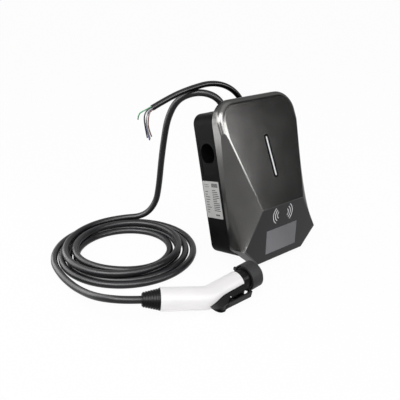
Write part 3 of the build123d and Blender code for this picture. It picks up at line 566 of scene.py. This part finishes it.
def barTree():
    tree, inputs, out = startTree("labelBars", {
        "Columns": "Int", "Rows": "Int", "Column Pitch": "Float", "Row Pitch": "Float", "Length": "Float",
        "Shortest": "Float", "Bar Height": "Float", "Seed": "Int", "Material": "Material"})
    add = tree.nodes.new
    bar = add("GeometryNodeTransform")  # a bar grows from its left end
    bar.inputs["Translation"].default_value = (0.5, 0, 0)
    cube = add("GeometryNodeMeshCube")
    cube.inputs["Size"].default_value = (1, 1, barThick)
    link(tree, cube.outputs["Mesh"], bar.inputs["Geometry"])
    lines = []
    for count, pitch, axis in (("Columns", "Column Pitch", "X"), ("Rows", "Row Pitch", "Y")):
        line = add("GeometryNodeMeshLine")
        step = add("ShaderNodeCombineXYZ")
        link(tree, inputs[pitch], step.inputs[axis])
        link(tree, inputs[count], line.inputs["Count"])
        link(tree, step.outputs["Vector"], line.inputs["Offset"])
        lines.append(line.outputs["Mesh"])
    rows = add("GeometryNodeInstanceOnPoints")
    link(tree, lines[0], rows.inputs["Points"])
    link(tree, lines[1], rows.inputs["Instance"])
    places = add("GeometryNodeRealizeInstances")
    link(tree, rows.outputs["Instances"], places.inputs["Geometry"])
    share = add("FunctionNodeRandomValue")
    share.data_type = "FLOAT"
    shares = [s for s in share.inputs if s.type == "VALUE" and s.enabled]
    link(tree, inputs["Shortest"], shares[0])
    shares[1].default_value = 1.0
    link(tree, inputs["Seed"], share.inputs["Seed"])
    drawn = [s for s in share.outputs if s.enabled][0]
    size = add("ShaderNodeCombineXYZ")
    size.inputs["Z"].default_value = 1.0
    link(tree, mathNode(tree, "MULTIPLY", drawn, inputs["Length"]), size.inputs["X"])
    link(tree, inputs["Bar Height"], size.inputs["Y"])
    bars = add("GeometryNodeInstanceOnPoints")
    link(tree, places.outputs["Geometry"], bars.inputs["Points"])
    link(tree, bar.outputs["Geometry"], bars.inputs["Instance"])
    link(tree, size.outputs["Vector"], bars.inputs["Scale"])
    endTree(tree, bars.outputs["Instances"], inputs["Material"], out)
    return tree


labelBars = barTree()
for name, values in barSets.items():
    x, y = values["middle"]
    x -= (values["Columns"] - 1) * values["Column Pitch"] / 2
    y -= (values["Rows"] - 1) * values["Row Pitch"] / 2
    barPlace = labelPlace @ Matrix.Translation((x, y, labelSet["thick"]))
    grown(name, labelBars, values, "ink", barPlace)
print("marks printed")


# studio: white floor and world, soft lamps
def whiteShare(tree, strength):
    rays = tree.nodes.new("ShaderNodeLightPath").outputs
    seen = mathNode(tree, "MAXIMUM", rays["Is Camera Ray"], rays["Is Glossy Ray"])
    seen = mathNode(tree, "MAXIMUM", seen, rays["Is Transmission Ray"])
    return mathNode(tree, "MULTIPLY", seen, strength)


def stageSheet(name, width, height, place, material):
    halfW, halfH = width / 2, height / 2
    corners = [(-halfW, -halfH, 0), (halfW, -halfH, 0), (halfW, halfH, 0), (-halfW, halfH, 0)]
    mesh = bpy.data.meshes.new(name)
    mesh.from_pydata([place @ Vector(c) for c in corners], [], [(0, 1, 2, 3)])
    mesh.materials.append(material)
    sheet = bpy.data.objects.new(name, mesh)
    scene.collection.objects.link(sheet)
    return sheet


studio = {"world": 0.58, "worldWhite": 1.0, "floorWhite": 0.95, "floorColor": 0.9, "floorRough": 0.9,
          "floorSize": 60.0}
world = bpy.data.worlds.new("world")
scene.world = world
world.use_nodes = True
worldTree = world.node_tree
ambient = worldTree.nodes["Background"]
ambient.inputs["Color"].default_value = (1, 1, 1, 1)
ambient.inputs["Strength"].default_value = studio["world"]
white = worldTree.nodes.new("ShaderNodeBackground")
white.inputs["Color"].default_value = (1, 1, 1, 1)
white.inputs["Strength"].default_value = 1.0
worldMix = worldTree.nodes.new("ShaderNodeMixShader")
link(worldTree, whiteShare(worldTree, studio["worldWhite"]), worldMix.inputs["Fac"])
link(worldTree, ambient.outputs[0], worldMix.inputs[1])
link(worldTree, white.outputs[0], worldMix.inputs[2])
link(worldTree, worldMix.outputs[0], worldTree.nodes["World Output"].inputs["Surface"])

floorMat = bpy.data.materials.new("floor")
floorMat.use_nodes = True
floorTree = floorMat.node_tree
floorPaint = floorTree.nodes["Principled BSDF"]
floorPaint.inputs["Base Color"].default_value = (*[studio["floorColor"]] * 3, 1)
floorPaint.inputs["Roughness"].default_value = studio["floorRough"]
glow = floorTree.nodes.new("ShaderNodeEmission")
glow.inputs["Strength"].default_value = 1.0
floorMix = floorTree.nodes.new("ShaderNodeMixShader")
link(floorTree, whiteShare(floorTree, studio["floorWhite"]), floorMix.inputs["Fac"])
link(floorTree, floorPaint.outputs[0], floorMix.inputs[1])
link(floorTree, glow.outputs[0], floorMix.inputs[2])
link(floorTree, floorMix.outputs[0], floorTree.nodes["Material Output"].inputs["Surface"])
floor = stageSheet("floor", studio["floorSize"], studio["floorSize"], Matrix(), floorMat)

flagSet = {"way": (0.635, -0.69, 0.34), "distance": 3.0, "lift": 0.2, "width": 2.6, "height": 3.0,
           "shade": 0.035}
flagMat = bpy.data.materials.new("flag")  # dark card that the cover's middle mirrors
flagMat.use_nodes = True
flagTree = flagMat.node_tree
flagGlow = flagTree.nodes.new("ShaderNodeEmission")
flagGlow.inputs["Strength"].default_value = flagSet["shade"]
link(flagTree, flagGlow.outputs[0], flagTree.nodes["Material Output"].inputs["Surface"])
flagWay = Vector(flagSet["way"]).normalized()
flagTurn = flagWay.to_track_quat("Z", "Y").to_matrix().to_4x4()
flagMiddle = flagWay * flagSet["distance"] + Vector((0, 0, flagSet["lift"]))
flagPlace = Matrix.Translation(flagMiddle) @ flagTurn
flag = stageSheet("flag", flagSet["width"], flagSet["height"], flagPlace, flagMat)
flag.visible_camera = False
flag.visible_diffuse = False
flag.visible_shadow = False

lamps = {  # ridge, rim, band and corner only draw highlights
    "key": dict(place=(-1.5, -1.0, 1.6), size=(1.2, 1.2), power=13, diffuse=True),
    "ridge": dict(place=(0.2, -1.93, 1.14), size=(2.14, 0.6), power=66, diffuse=False),
    "rim": dict(place=(-1.44, -0.94, 1.8), size=(2.4, 1.5), power=150, diffuse=False),
    "band": dict(place=(-0.62, 0.58, 0.38), size=(0.56, 0.75), power=7.2, diffuse=False),
    "corner": dict(place=(-0.95, 0.16, 0.66), size=(0.6, 0.5), power=11.0, diffuse=False),
    "top": dict(place=(0.1, -0.2, 2.2), size=(1.6, 1.6), power=8, diffuse=True),
}
lampAim = Vector((-0.1, 0, 0.2))
for name, values in lamps.items():
    lampData = bpy.data.lights.new(name, "AREA")
    lampData.shape = "RECTANGLE"
    lampData.size, lampData.size_y = values["size"]
    lampData.energy = values["power"]
    lamp = bpy.data.objects.new(name, lampData)
    lamp.location = values["place"]
    lamp.rotation_euler = (lampAim - Vector(values["place"])).to_track_quat("-Z", "Y").to_euler()
    lamp.visible_diffuse = values["diffuse"]
    lamp.visible_camera = False
    scene.collection.objects.link(lamp)
print("studio lit")
